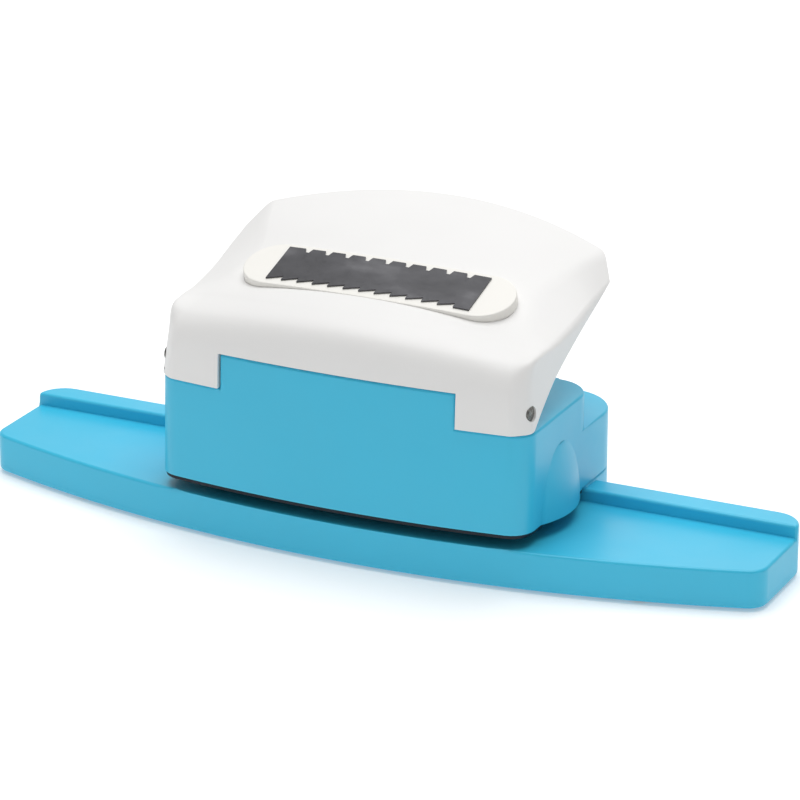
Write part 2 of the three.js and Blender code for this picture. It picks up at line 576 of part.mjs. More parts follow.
function pill(length, depth) {
  const r = depth / 2;
  return [...arc(length / 2 - r, 0, r, -PI / 2, PI / 2, 12), ...arc(-length / 2 + r, 0, r, PI / 2, 1.5 * PI, 12)];
}

// An outline given thickness from z0 to z1 and bowed downwards towards both ends.
function bowedPlate(points, z0, z1) {
  const spans = 16;
  const drop = (x) => BADGE_BOW * (x / (BADGE_LENGTH / 2)) ** 2;
  const grid = Array.from({ length: spans + 1 }, (_, i) => {
    const x = BADGE_LENGTH * 0.6 * ((2 * i) / spans - 1);
    return [[-1, z0], [1, z0], [1, z1], [-1, z1]].map(([side, z]) => V3(x, side * BADGE_DEPTH, z - drop(x)));
  });
  return prism(points, -20, 20).intersect(loft(grid));
}

// Moves a solid that lies on z = 0 round the origin onto the badge's sloping top face, relative to the hinge.
function onBadge(body) {
  const angle = (atan2(BADGE_SLOPE, 1) * 180) / PI;
  return body.rotate([angle, 0, 0]).translate([0, BADGE_MIDDLE.y, BADGE_MIDDLE.z]);
}

const badgePill = (margin, z0, z1) =>
  onBadge(bowedPlate(pill(BADGE_LENGTH + 2 * margin, BADGE_DEPTH + 2 * margin), z0, z1));
const atHinge = (body) => body.translate([0, HINGE_Y, HINGE_Z]);

// ---- Lever, cut and ribbed -----------------------------------------------------------------------------------
const LEG_BOTTOM = SHOULDER_Z - HINGE_Z + MOVE_GAP;
const LOWER_EDGE = { start: V2(0.1, -4), bend: V2(22.5, 11.9), end: V2(49, 21) };

// Everything below the lever's lower edge, as an outline in (y, z) relative to the hinge.
function underLever() {
  const { start, bend, end } = LOWER_EDGE;
  const [from, middle, to] = [start, bend, end].map((p) => V2(stretch(p.x), p.y));
  const edge = new THREE.QuadraticBezierCurve(from, middle, to).getPoints(14);
  const corner = new THREE.QuadraticBezierCurve(V2(-2.1, LEG_BOTTOM), V2(-0.8, LEG_BOTTOM), from).getPoints(4);
  const beyond = to.clone().add(to.clone().sub(middle).setLength(20));
  const low = -40;
  return [V2(low, low), V2(beyond.x, low), beyond, ...edge.reverse(), ...corner.reverse().slice(1), V2(low, LEG_BOTTOM)];
}

// The pressing ribs' noses are involutes of the cam radius, so the flat carrier follows at a constant ratio.
function ribNose(lift) {
  const limit = (LEVER_TRAVEL_DEG * PI) / 180;
  return Array.from({ length: 9 }, (_, i) => {
    const a = -0.06 + ((limit + 0.12) * i) / 8;
    const drop = lift + CAM_RADIUS * a;
    return V2(CAM_RADIUS * cos(a) + drop * sin(a), CAM_RADIUS * sin(a) - drop * cos(a));
  });
}

function makeLever() {
  const fine = leverGrid(30, 6, 3);
  const outer = loft(fine);
  const solidX = HALF - 3 * LEVER_WALL; // the rear corners are solid from here outwards
  const solidY = stretch(SHOULDER[SHOULDER.length - 1][0]) - 4 * LEVER_WALL;
  const inner = loft(shrunkGrid(leverGrid(18, 4, 2), LEVER_WALL))
    .subtract(box(solidX, 99, solidY, 99, -99, 99)).subtract(box(-99, -solidX, solidY, 99, -99, 99));
  const under = crosswise(underLever(), -99, 99);
  const notchHalf = TOWER_WIDTH / 2 + MOVE_GAP;
  const notchTop = TOWER_Z - HINGE_Z + MOVE_GAP;
  const notch = box(-notchHalf, notchHalf, -40, TOWER_DEPTH + 4, -40, notchTop);
  const legInner = notchHalf + LEVER_WALL;
  const legProfile = [V2(-3.2, -30), V2(9, -30), V2(9, 6), V2(-3.2, 6)];
  let ribs = crosswise(legProfile, -legInner, -notchHalf).add(crosswise(legProfile, notchHalf, legInner));
  const boss = ROD_RADIUS + 2.05;
  ribs = ribs.add(bar(boss, -HALF, -notchHalf, 0, 0)).add(bar(boss, notchHalf, HALF, 0, 0));
  const nose = ribNose(HINGE_Z - CARRIER_TOP_Z - MOVE_GAP);
  const noseFirst = nose[0];
  const noseLast = nose[nose.length - 1];
  const pressProfile = [V2(noseFirst.x - 2.5, noseFirst.y + 3), ...nose, V2(noseLast.x + 3, noseLast.y + 4),
    V2(noseLast.x + 9, 40), V2(noseFirst.x - 9, 40)];
  for (const [, s] of SIDES) {
    const x = s * PRESS_RIB_X;
    ribs = ribs.add(crosswise(pressProfile, x - PRESS_RIB_THICKNESS / 2, x + PRESS_RIB_THICKNESS / 2));
  }
  ribs = ribs.add(badgePill(2, -BADGE_THICKNESS - SEAT_GAP - BADGE_SEAT, 0));
  const noseRoom = box(-CARRIER_WIDTH / 2, CARRIER_WIDTH / 2, noseFirst.x - 9, noseLast.x + 9, -9, 6);
  const ribSpace = outer.subtract(under).add(noseRoom); // the pressing ribs reach below the skirt
  let lever = outer.subtract(inner).subtract(under).add(ribs.intersect(ribSpace));
  lever = lever.subtract(notch).subtract(bar(ROD_RADIUS + RUN_GAP, -HALF - 1, HALF + 1, 0, 0));
  return atHinge(lever.subtract(badgePill(SEAT_GAP, -BADGE_THICKNESS - SEAT_GAP, 9))).simplify(WELD);
}

const makeRod = () => {
  const end = sideX(0, 0) + ROD_END_STAND;
  return bar(ROD_RADIUS, -end, end, HINGE_Y, HINGE_Z, 24);
};

// ---- Assembly -----------------------------------------------------------------------------------------------
const FINISH = {
  blue: { color: 0x2fb4e4, roughness: 0.35, metalness: 0 },
  white: { color: 0xf2f1ec, roughness: 0.4, metalness: 0 },
  steel: { color: 0xb8babd, roughness: 0.3, metalness: 1 },
  darkSteel: { color: 0x2b2d30, roughness: 0.35, metalness: 1 },
  rubber: { color: 0x3a3c3f, roughness: 0.9, metalness: 0 },
  foil: { color: 0x4a4b50, roughness: 0.2, metalness: 0.6 },
  grey: { color: 0x8d9196, roughness: 0.6, metalness: 0 },
};

const group = new THREE.Group();
function addPiece(name, body, finish) {
  const material = new THREE.MeshStandardMaterial(FINISH[finish]);
  const mesh = new THREE.Mesh(geometryOf(body), material);
  mesh.name = name;
  group.add(mesh);
}

addPiece("base", makeBase(), "blue");
for (const [name, x, y] of FEET) addPiece("foot_" + name, makeFoot(x, y), "rubber");
addPiece("die_plate", makeDie(), "steel");
addPiece("body_shell", makeBodyShell(), "blue");
addPiece("guide_plate", makeGuidePlate(), "darkSteel");
for (const [name, x, y] of guideScrews)
  addPiece("guide_screw_" + name, countersunk(GUIDE_SCREW, x, y, GUIDE_BOTTOM_Z, 1), "steel");
addPiece("hinge_rod", makeRod(), "steel");
addPiece("punch_carrier", makeCarrier(), "grey");
addPiece("punch_blade", makeBlade(), "steel");
for (const [side, s] of SIDES) {
  addPiece("die_screw_" + side, countersunk(DIE_SCREW, s * DIE_SCREW_X, PUNCH_Y, 0, -1), "steel");
  addPiece("body_screw_" + side, countersunk(BODY_SCREW, s * BODY_SCREW_X, BODY_SCREW_Y, BODY_SCREW_HEAD_Z, 1), "steel");
  addPiece("carrier_screw_" + side,
    countersunk(CARRIER_SCREW, s * CARRIER_SCREW_X, PUNCH_Y, CARRIER_HEAD_Z, -1), "steel");
  addPiece("guide_post_" + side, makePost(s * POST_X), "steel");
  addPiece("return_spring_" + side, makeSpring(s * POST_X), "steel");
}
addPiece("lever", makeLever(), "white");
addPiece("badge_plate", atHinge(badgePill(0, -BADGE_THICKNESS, 0)), "white");
addPiece("pattern_foil", atHinge(onBadge(bowedPlate(patternOutline(), SEAT_GAP, SEAT_GAP + FOIL_THICKNESS))), "foil");

const size = new THREE.Box3().setFromObject(group);
group.position.set(0, -(size.min.y + size.max.y) / 2, -TABLE_Z);
export default group;
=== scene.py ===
import json
import math

import bmesh
import bpy
from mathutils import Matrix, Vector


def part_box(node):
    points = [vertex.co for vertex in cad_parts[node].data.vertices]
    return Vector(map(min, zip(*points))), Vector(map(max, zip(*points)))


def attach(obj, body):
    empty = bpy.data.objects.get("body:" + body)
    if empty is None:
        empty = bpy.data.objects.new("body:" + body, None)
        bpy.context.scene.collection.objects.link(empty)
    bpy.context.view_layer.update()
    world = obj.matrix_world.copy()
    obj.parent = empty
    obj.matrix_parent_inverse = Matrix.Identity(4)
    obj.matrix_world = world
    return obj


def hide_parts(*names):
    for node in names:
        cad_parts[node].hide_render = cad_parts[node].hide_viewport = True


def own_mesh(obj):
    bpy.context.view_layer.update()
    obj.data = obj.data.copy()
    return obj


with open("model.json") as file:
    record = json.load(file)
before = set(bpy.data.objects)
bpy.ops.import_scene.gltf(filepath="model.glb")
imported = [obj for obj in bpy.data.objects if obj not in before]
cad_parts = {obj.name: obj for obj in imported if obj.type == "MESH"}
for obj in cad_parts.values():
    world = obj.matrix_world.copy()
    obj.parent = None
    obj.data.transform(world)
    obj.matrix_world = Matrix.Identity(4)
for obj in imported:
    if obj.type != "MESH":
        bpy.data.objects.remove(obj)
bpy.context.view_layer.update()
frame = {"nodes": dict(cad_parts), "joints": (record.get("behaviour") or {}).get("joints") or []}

MM = 0.001
NODES = frame["nodes"]
JOINTS = {joint["name"]: joint for joint in frame["joints"]}
SIDES = (("left", -1), ("right", 1))


def box_mm(node):
    low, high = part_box(node)
    return low / MM, high / MM


# ---- Places read from the frame (mm) ------------------------------------------------------------------------
GUIDE_PLATE_INSET = 0.3
FENCE_SETBACK = 38.0  # the fence's front, behind the body's front
TOWER_HEIGHT = 35.85  # above the base's deck
LEG_WIDTH = 17.4

HINGE = Vector(JOINTS["lever_hinge"]["pos_m"]) / MM
HALF = box_mm("guide_plate")[1].x + GUIDE_PLATE_INSET
BODY_LOW = box_mm("body_shell")[0]
BODY_BOTTOM = BODY_LOW.z
ROD_LOW, ROD_HIGH = box_mm("hinge_rod")
ROD_RADIUS = (ROD_HIGH.z - ROD_LOW.z) / 2
FENCE_Y = BODY_LOW.y + FENCE_SETBACK
DECK_Z = box_mm("die_plate")[1].z
TOWER_TOP = DECK_Z + TOWER_HEIGHT
TOWER_HALF = HALF - LEG_WIDTH

# ---- Sizes of the looks alone (mm) --------------------------------------------------------------------------
EDGE_BASE = 0.75
EDGE_BODY = 0.6
EDGE_SMALL = 0.12
EDGE_TINY = 0.08
EDGE_ROD = 0.2
EDGE_BADGE = 0.35
LEVER_WALL = 2.3
TOWER_DEPTH = 11.5
MOVE_GAP = 0.3
RUN_GAP = 0.1
SIDE_LEAN = 0.19
LEAN_HEIGHT = 6.4
SIDE_FLARE = 0.042
SHOULDER_DROP = 4.7  # from the hinge down to the body's shoulder
FAR = 99  # a cutting tool's reach, past every side of the lever


# ---- Mesh helpers -------------------------------------------------------------------------------------------
def object_of(name, bm):
    """A new object from a bmesh; the bmesh is freed."""
    mesh = bpy.data.meshes.new(name)
    bm.to_mesh(mesh)
    bm.free()
    piece = bpy.data.objects.new(name, mesh)
    bpy.context.scene.collection.objects.link(piece)
    return piece


def loft(name, rows):
    """A closed solid from rows of points, each row a closed loop, with a flat face on the first and last row."""
    bm = bmesh.new()
    rings = [[bm.verts.new(p) for p in row] for row in rows]
    count = len(rows[0])
    for ring, following in zip(rings, rings[1:]):
        for i in range(count):
            k = (i + 1) % count
            bm.faces.new((ring[i], ring[k], following[k], following[i]))
    bm.faces.new(list(reversed(rings[0])))
    bm.faces.new(rings[-1])
    bmesh.ops.recalc_face_normals(bm, faces=bm.faces)
    if bm.calc_volume(signed=True) < 0:
        bmesh.ops.reverse_faces(bm, faces=bm.faces)
    return object_of(name, bm)


def prism(name, outline, low, high, place=Matrix()):
    """A flat outline of (u, v) points, standing from low to high along w, moved by place."""
    return loft(name, [[place @ Vector((u, v, w)) for u, v in outline] for w in (low, high)])


ALONG_X = Matrix(((0, 0, 1, 0), (1, 0, 0, 0), (0, 1, 0, 0), (0, 0, 0, 1)))  # u, v, w become y, z, x


def block(name, low, high):
    """A box between two corners."""
    outline = [(low[0], low[1]), (high[0], low[1]), (high[0], high[1]), (low[0], high[1])]
    return prism(name, outline, low[2], high[2])


def combine(piece, tool, operation):
    """Cuts, joins or intersects piece with tool, and removes the tool."""
    modifier = piece.modifiers.new("combine", "BOOLEAN")
    modifier.operation = operation
    modifier.solver = "MANIFOLD"
    modifier.object = tool
    bpy.context.view_layer.update()
    evaluated = piece.evaluated_get(bpy.context.evaluated_depsgraph_get())
    made = bpy.data.meshes.new_from_object(evaluated)
    piece.modifiers.clear()
    piece.data = made
    bpy.data.objects.remove(tool)
    return piece


def cut(piece, tool):
    return combine(piece, tool, "DIFFERENCE")


def join(piece, tool):
    return combine(piece, tool, "UNION")


def cleaned(bm, merge, flat_degrees=0.2):
    """Merges doubled points and dissolves the edges between level faces."""
    bmesh.ops.remove_doubles(bm, verts=bm.verts, dist=merge)
    bmesh.ops.dissolve_degenerate(bm, edges=bm.edges, dist=merge)
    bmesh.ops.dissolve_limit(bm, angle_limit=math.radians(flat_degrees), verts=bm.verts, edges=bm.edges)


def rounded(bm, width, chosen, segments=3, sharp_degrees=38):
    """Rounds the outward edges whose middle the test chosen() accepts."""
    edges = []
    for edge in bm.edges:
        if len(edge.link_faces) != 2 or edge.calc_face_angle_signed() < math.radians(sharp_degrees):
            continue
        if chosen((edge.verts[0].co + edge.verts[1].co) / 2):
            edges.append(edge)
    bmesh.ops.bevel(bm, geom=edges, offset=width, offset_type="OFFSET", segments=segments, profile=0.5,
                    affect="EDGES", clamp_overlap=False, loop_slide=True, miter_outer="SHARP")


def smooth_faces(bm, sharp_degrees=32):
    for face in bm.faces:
        face.smooth = True
    for edge in bm.edges:
        if len(edge.link_faces) == 2:
            edge.smooth = edge.calc_face_angle(0.0) < math.radians(sharp_degrees)


def weighted(piece):
    modifier = piece.modifiers.new("weighted_normals", "WEIGHTED_NORMAL")
    modifier.keep_sharp = True
    modifier.weight = 60


def finished(piece, body, replaced, materials):
    """Scales a piece made in millimetres to metres, and hangs it on its body."""
    piece.data.transform(Matrix.Scale(MM, 4))
    piece.data.materials.clear()
    for material in materials:
        piece.data.materials.append(material)
    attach(piece, body)
    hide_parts(*replaced)
    weighted(piece)
    return piece


def rework(piece, steps):
    """Runs steps on the piece's bmesh and writes it back."""
    bm = bmesh.new()
    bm.from_mesh(piece.data)
    steps(bm)
    bm.to_mesh(piece.data)
    bm.free()
    piece.data.validate()
    return piece


def softened(node, name, width, chosen, merge=0.02):
    """A copy of a CAD node in millimetres with its outer edges rounded."""
    bm = bmesh.new()
    bm.from_mesh(NODES[node].data)
    bmesh.ops.transform(bm, matrix=Matrix.Scale(1 / MM, 4), verts=bm.verts)
    cleaned(bm, merge)
    rounded(bm, width, chosen)
    smooth_faces(bm)
    return object_of(name, bm)


# ---- Materials ----------------------------------------------------------------------------------------------
def shader(name, rough, metal=0.0, specular=0.5):
    material = bpy.data.materials.new(name)
    material.use_nodes = True
    tree = material.node_tree
    bsdf = tree.nodes["Principled BSDF"]
    bsdf.inputs["Roughness"].default_value = rough
    bsdf.inputs["Metallic"].default_value = metal
    bsdf.inputs["Specular IOR Level"].default_value = specular
    coordinates = tree.nodes.new("ShaderNodeTexCoord")
    return material, tree, bsdf, coordinates.outputs["Object"]


def noise(tree, vector, scale, detail=3.0, stretch=None):
    if stretch:
        mapping = tree.nodes.new("ShaderNodeMapping")
        mapping.inputs["Scale"].default_value = stretch
        tree.links.new(vector, mapping.inputs["Vector"])
        vector = mapping.outputs["Vector"]
    node = tree.nodes.new("ShaderNodeTexNoise")
    node.inputs["Scale"].default_value = scale
    node.inputs["Detail"].default_value = detail
    tree.links.new(vector, node.inputs["Vector"])
    return node.outputs["Fac"]


def ramp(tree, factor, stops):
    node = tree.nodes.new("ShaderNodeValToRGB")
    elements = node.color_ramp.elements
    while len(elements) < len(stops):
        elements.new(0.5)
    for element, (position, colour) in zip(elements, stops):
        element.position = position
        element.color = (*colour, 1.0)
    tree.links.new(factor, node.inputs["Fac"])
    return node.outputs["Color"]


def ranged(tree, factor, low, high):
    """Stretches a noise's middle range to low to high."""
    node = tree.nodes.new("ShaderNodeMapRange")
    node.inputs["From Min"].default_value = 0.3
    node.inputs["From Max"].default_value = 0.7
    node.inputs["To Min"].default_value = low
    node.inputs["To Max"].default_value = high
    tree.links.new(factor, node.inputs["Value"])
    return node.outputs["Result"]


def bumped(tree, bsdf, height, distance_mm):
    node = tree.nodes.new("ShaderNodeBump")
    node.inputs["Distance"].default_value = distance_mm * MM
    node.inputs["Strength"].default_value = 1.0
    tree.links.new(height, node.inputs["Height"])
    tree.links.new(node.outputs["Normal"], bsdf.inputs["Normal"])


def tint(colour, factor):
    return tuple(min(1.0, channel * factor) for channel in colour)


def moulded_plastic(name, colour, rough, grain_mm, grain_height_mm, spread):
    """Moulded plastic: faint flow marks in the colour, a fine etched grain, and uneven gloss."""
    material, tree, bsdf, where = shader(name, rough)
    flow = noise(tree, where, 22.0, 2.0)
    tree.links.new(ramp(tree, flow, [(0.3, tint(colour, 1 - spread)), (0.7, tint(colour, 1 + spread))]),
                   bsdf.inputs["Base Color"])
    gloss = noise(tree, where, 90.0, 4.0)
    tree.links.new(ranged(tree, gloss, rough - 0.04, rough + 0.05), bsdf.inputs["Roughness"])
    bumped(tree, bsdf, noise(tree, where, 1 / (grain_mm * MM), 3.0), grain_height_mm)
    return material


def worked_steel(name, colour, rough, along="x", streak=60.0):
    """Steel with drawing or grinding lines along one axis and slight stains."""
    material, tree, bsdf, where = shader(name, rough, 1.0)
    stretch = {"x": (0.04, 1, 1), "y": (1, 0.04, 1), "z": (1, 1, 0.04)}[along]
    lines = noise(tree, where, 100 * streak, 3.0, stretch)
    stains = noise(tree, where, 140.0, 4.0)
    tree.links.new(ramp(tree, stains, [(0.35, tint(colour, 0.82)), (0.65, colour)]), bsdf.inputs["Base Color"])
    tree.links.new(ranged(tree, lines, rough - 0.08, rough + 0.12), bsdf.inputs["Roughness"])
    bumped(tree, bsdf, lines, 0.01)
    return material


def cut_rod_steel():
    """The sawn ends and plain sides of the hinge rod: dark, pitted steel."""
    material, tree, bsdf, where = shader("rod_steel", 0.42, 1.0)
    pits = noise(tree, where, 2600.0, 5.0)
    tree.links.new(ramp(tree, pits, [(0.35, (0.05, 0.05, 0.045)), (0.62, (0.3, 0.3, 0.28))]),
                   bsdf.inputs["Base Color"])
    tree.links.new(ranged(tree, pits, 0.32, 0.6), bsdf.inputs["Roughness"])
    bumped(tree, bsdf, pits, 0.12)
    return material


def cloudy_foil():
    """Dark metallised label, its colour painted lighter in cloudy patches, with a finely speckled gloss."""
    material, tree, bsdf, where = shader("foil", 0.3, 0.25)
    clouds = noise(tree, where, 75.0, 3.0, (1, 1.6, 1))
    # colour painted lighter in cloudy patches, from near black to dark grey
    tree.links.new(ramp(tree, clouds, [(0.35, (0.052, 0.052, 0.058)), (0.55, (0.075, 0.075, 0.083)),
                                       (0.75, (0.15, 0.15, 0.16))]), bsdf.inputs["Base Color"])
    speckle = noise(tree, where, 900.0, 2.0)
    tree.links.new(ranged(tree, speckle, 0.28, 0.42), bsdf.inputs["Roughness"])
    bumped(tree, bsdf, noise(tree, where, 180.0, 1.0), 0.01)
    return material


def matt_rubber():
    material, tree, bsdf, where = shader("foot_rubber", 0.85)
    grain = noise(tree, where, 1500.0, 4.0)
    tree.links.new(ramp(tree, grain, [(0.3, (0.028, 0.028, 0.03)), (0.7, (0.06, 0.06, 0.063))]),
                   bsdf.inputs["Base Color"])
    tree.links.new(ranged(tree, grain, 0.78, 0.95), bsdf.inputs["Roughness"])
    bumped(tree, bsdf, grain, 0.04)
    return material


BLUE = moulded_plastic("blue_plastic", (0.045, 0.54, 0.79), 0.36, 0.45, 0.006, 0.02)
WHITE = moulded_plastic("white_plastic", (0.87, 0.865, 0.855), 0.44, 0.4, 0.012, 0.012)
BADGE = moulded_plastic("badge_plastic", (0.9, 0.885, 0.84), 0.4, 0.5, 0.006, 0.012)
GREY = moulded_plastic("grey_plastic", (0.13, 0.135, 0.145), 0.5, 0.4, 0.02, 0.08)
TOOL_STEEL = worked_steel("tool_steel", (0.6, 0.61, 0.63), 0.3)
DARK_STEEL = worked_steel("dark_steel", (0.03, 0.034, 0.042), 0.4)
SPRING_STEEL = worked_steel("spring_steel", (0.5, 0.51, 0.53), 0.32, "z")
ZINC = worked_steel("zinc_screw", (0.62, 0.64, 0.66), 0.34, "y", streak=30.0)
ROD_STEEL = cut_rod_steel()
FOIL = cloudy_foil()
RUBBER = matt_rubber()


# ---- Lever --------------------------------------------------------------------------------------------------
# A fan of cross-sections, each from the middle line over a soft crease and a side bevel down the side. Places are
# relative to the hinge: y behind it, z above it, and inset from the lever's side at the hinge.
MIDDLE = [(-7.3, -5.5), (-6, 7.9), (-3.8, 12.8), (1.9, 16.1),
          (10.5, 18.3), (26.1, 22.6), (41.1, 26.3), (55.5, 29.2)]
CREASE = [(3.4, -4.7, -5.5), (4.2, -3.6, 6.7), (5.2, -0.6, 10.8), (6.8, 7.1, 13.3),
          (8.6, 14.6, 15.3), (11, 27.6, 19.5), (7, 38.9, 22.6), (3.6, 47.7, 23.7)]
SHOULDER = [(-1.3, -5.5), (-0.2, 5.9), (1.5, 11.6), (6.7, 12.5),
            (12.3, 12.4), (23.5, 13.9), (32.8, 16.2), (41.3, 18.1)]
SKIRT = [(6.1, -5.5), (9.4, -2.3), (15.1, 1.3), (18.5, 3.6),
         (22.3, 5.1), (28.5, 7.5), (35.4, 10), (40.6, 11.8)]
LEG_BOTTOM = MOVE_GAP - SHOULDER_DROP
LEG_TIP = ((-2.1, LEG_BOTTOM), (-0.8, LEG_BOTTOM))  # where the legs' bottoms end and turn up
LOWER_EDGE = ((0.1, -4), (22.5, 11.9), (49, 21))
FLARE_START = -1.5
CROWN_REACH = 0.94  # how far the crown runs towards the crease before the crease's rounding
CREASE_SOFT = 2.6
SHOULDER_SOFT = 1.6
REAR_PROUD = 0.3  # the rear edge's rounding
REAR_DROP = 0.9
REAR_BELOW = 3  # how far the rear face reaches below the skirt
INNER_REACH = 0.955
INNER_BELOW = 6


def side_x(y, z):
    """The lever's side leans in near the body's shoulder and flares out to the rear."""
    lean = SIDE_LEAN * min(z + SHOULDER_DROP, LEAN_HEIGHT)
    return HALF - lean + SIDE_FLARE * max(y - FLARE_START, 0)


def centripetal(points, t):
    """A point of the centripetal Catmull-Rom curve through points, t from 0 to 1."""
    last = len(points) - 1
    i = min(int(t * last), last - 1)
    weight = t * last - i
    p1, p2 = points[i], points[i + 1]
    p0 = points[i - 1] if i else p1 * 2 - p2
    p3 = points[i + 2] if i + 2 <= last else p2 * 2 - p1
    d0, d1, d2 = (max((b - a).length, 1e-6) ** 0.5 for a, b in ((p0, p1), (p1, p2), (p2, p3)))
    m1 = ((p1 - p0) / d0 - (p2 - p0) / (d0 + d1) + (p2 - p1) / d1) * d1
    m2 = ((p2 - p1) / d1 - (p3 - p1) / (d1 + d2) + (p3 - p2) / d2) * d1
    square, cube = weight**2, weight**3
    return (p1 * (2 * cube - 3 * square + 1) + m1 * (cube - 2 * square + weight)
            + p2 * (3 * square - 2 * cube) + m2 * (cube - square))


MIDDLE_LINE = [Vector((0, y, z)) for y, z in MIDDLE]
CREASE_LINE = [Vector((HALF - inset, y, z)) for inset, y, z in CREASE]
SHOULDER_LINE = [Vector((side_x(y, z), y, z)) for y, z in SHOULDER]
SKIRT_LINE = [Vector((side_x(y, z), y, z)) for y, z in SKIRT]


def bezier(a, b, c, t):
    return a * (1 - t) ** 2 + b * 2 * t * (1 - t) + c * t * t


def soft_corner(a, b, c, distance, steps):
    """Points round the corner b of a-b-c, from distance before it to distance after it."""
    start = b.lerp(a, min(distance / (a - b).length, 0.45))
    end = b.lerp(c, min(distance / (c - b).length, 0.45))
    return [bezier(start, b, end, i / steps) for i in range(steps + 1)]


def half_section(t, crown_steps, bend_steps, side_steps):
    """The right half of the fan's cross-section at t, from the middle line to the skirt."""
    middle, crease, shoulder, skirt = (
        centripetal(line, t) for line in (MIDDLE_LINE, CREASE_LINE, SHOULDER_LINE, SKIRT_LINE))

    def crown(u):
        return Vector((crease.x * u, middle.y + (crease.y - middle.y) * u * u,
                       middle.z + (crease.z - middle.z) * u * u))

    points = [crown(CROWN_REACH * i / crown_steps) for i in range(crown_steps)]
    points += soft_corner(crown(CROWN_REACH), crease, shoulder, CREASE_SOFT, bend_steps)
    points += soft_corner(crease, shoulder, skirt, SHOULDER_SOFT, bend_steps)
    start = points[-1]
    return points + [start.lerp(skirt, (i + 1) / side_steps) for i in range(side_steps)]


def skin_rows(rows, crown_steps, bend_steps, side_steps, reach=1.0):
    """Rows of skin points from the leg bottoms over the top, as far as reach of the way to the rear edge."""
    grid = []
    for j in range(rows + 1):
        half = half_section(reach * j / rows, crown_steps, bend_steps, side_steps)
        grid.append([Vector((-p.x, p.y, p.z)) for p in reversed(half[1:])] + half)
    return grid


def lever_rows(rows, crown_steps, bend_steps, side_steps, edge_steps):
    """The skin rows, with a rounded rear edge and the rear face."""
    grid = skin_rows(rows, crown_steps, bend_steps, side_steps)
    last = grid[-1]
    for k in range(1, edge_steps + 1):
        turn = math.pi / 2 * k / edge_steps
        move = Vector((0, REAR_PROUD * math.sin(turn), -REAR_DROP * (1 - math.cos(turn))))
        grid.append([p + move for p in last])
    floor = SKIRT[-1][1] - REAR_BELOW
    grid.append([Vector((p.x, p.y + REAR_PROUD, min(floor, p.z - REAR_DROP))) for p in last])
    return grid


def shrunk(grid, wall):
    """The grid moved inwards by the wall, along the skin's own normals."""
    rows, count = len(grid), len(grid[0])
    moved = []
    for j, row in enumerate(grid):
        new_row = []
        for i, p in enumerate(row):
            along = grid[min(j + 1, rows - 1)][i] - grid[max(j - 1, 0)][i]
            across = row[min(i + 1, count - 1)] - row[max(i - 1, 0)]
            new_row.append(p + along.cross(across).normalized() * wall)
        moved.append(new_row)
    return moved


def inner_rows():
    """The hollow's rows: the skin less the wall, stopped one wall short of the rear face."""
    grid = shrunk(skin_rows(48, 10, 4, 2, INNER_REACH), LEVER_WALL)
    floor = SKIRT[-1][1] - INNER_BELOW
    return grid + [[Vector((p.x, p.y, min(floor, p.z))) for p in grid[-1]]]


def under_lever():
    """Everything below the lever's lower edge, as an outline in (y, z)."""
    start, bend, end = (Vector(p) for p in LOWER_EDGE)
    tip, turn = (Vector(p) for p in LEG_TIP)
    edge = [bezier(start, bend, end, i / 40) for i in range(41)]
    corner = [bezier(tip, turn, start, i / 10) for i in range(10)]
    beyond = end + (end - bend).normalized() * 20
    points = [Vector((-40, -40)), Vector((beyond.x, -40)), beyond] + edge[::-1] + corner[::-1]
    return [(p.x, p.y) for p in points + [Vector((-40, LEG_BOTTOM))]]


def rod_along_x(name, radius, low, high, steps=48):
    """A round bar on the hinge's axis."""
    angles = (2 * math.pi * i / steps for i in range(steps))
    circle = [(radius * math.cos(a), radius * math.sin(a)) for a in angles]
    return prism(name, circle, low, high, ALONG_X)


CAM_RADIUS = 17.1
CAM_MARGIN = 0.06  # radians of nose past each end of the hinge's range
RIB_LIFT = 2.8
RIB_THICKNESS = 3.0
RIB_TOP = 40  # above the skin, where the envelope trims the ribs


def rib_outline():
    """A press rib in (y, z): its nose is an involute, so that a flat carrier follows it evenly."""
    limit = math.radians(JOINTS["lever_hinge"]["range_deg"][1])
    nose = []
    for i in range(17):
        a = -CAM_MARGIN + (limit + 2 * CAM_MARGIN) * i / 16
        drop = RIB_LIFT + CAM_RADIUS * a
        nose.append((CAM_RADIUS * math.cos(a) + drop * math.sin(a),
                     CAM_RADIUS * math.sin(a) - drop * math.cos(a)))
    first, last = nose[0], nose[-1]
    return [(first[0] - 2.5, first[1] + 3), *nose, (last[0] + 3, last[1] + 4),
            (last[0] + 9, RIB_TOP), (first[0] - 9, RIB_TOP)]


def pill(length, depth, steps=24):
    """A slot-shaped outline with round ends, about its middle."""
    r = depth / 2
    right = [(length / 2 - r + r * math.cos(a), r * math.sin(a))
             for a in (math.pi * (i / steps - 0.5) for i in range(steps + 1))]
    return right + [(-x, -y) for x, y in right]


BADGE_MIDDLE = Vector((0, 16.9, 20.25))
BADGE_SLOPE = math.atan(0.293)
ON_BADGE = Matrix.Translation(BADGE_MIDDLE) @ Matrix.Rotation(BADGE_SLOPE, 4, "X")
BADGE_END_INSET = 13  # from the lever's side at the hinge
BADGE_LENGTH = 2 * (HALF - BADGE_END_INSET)
BADGE_DEPTH = 16.4
BADGE_THICKNESS = 2.4
BADGE_BOW = 0.8
BOW_STRIPS = 38
SEAT_GAP = 0.1
SEAT_FLOOR = 1.2
SEAT_RIM = 2.0


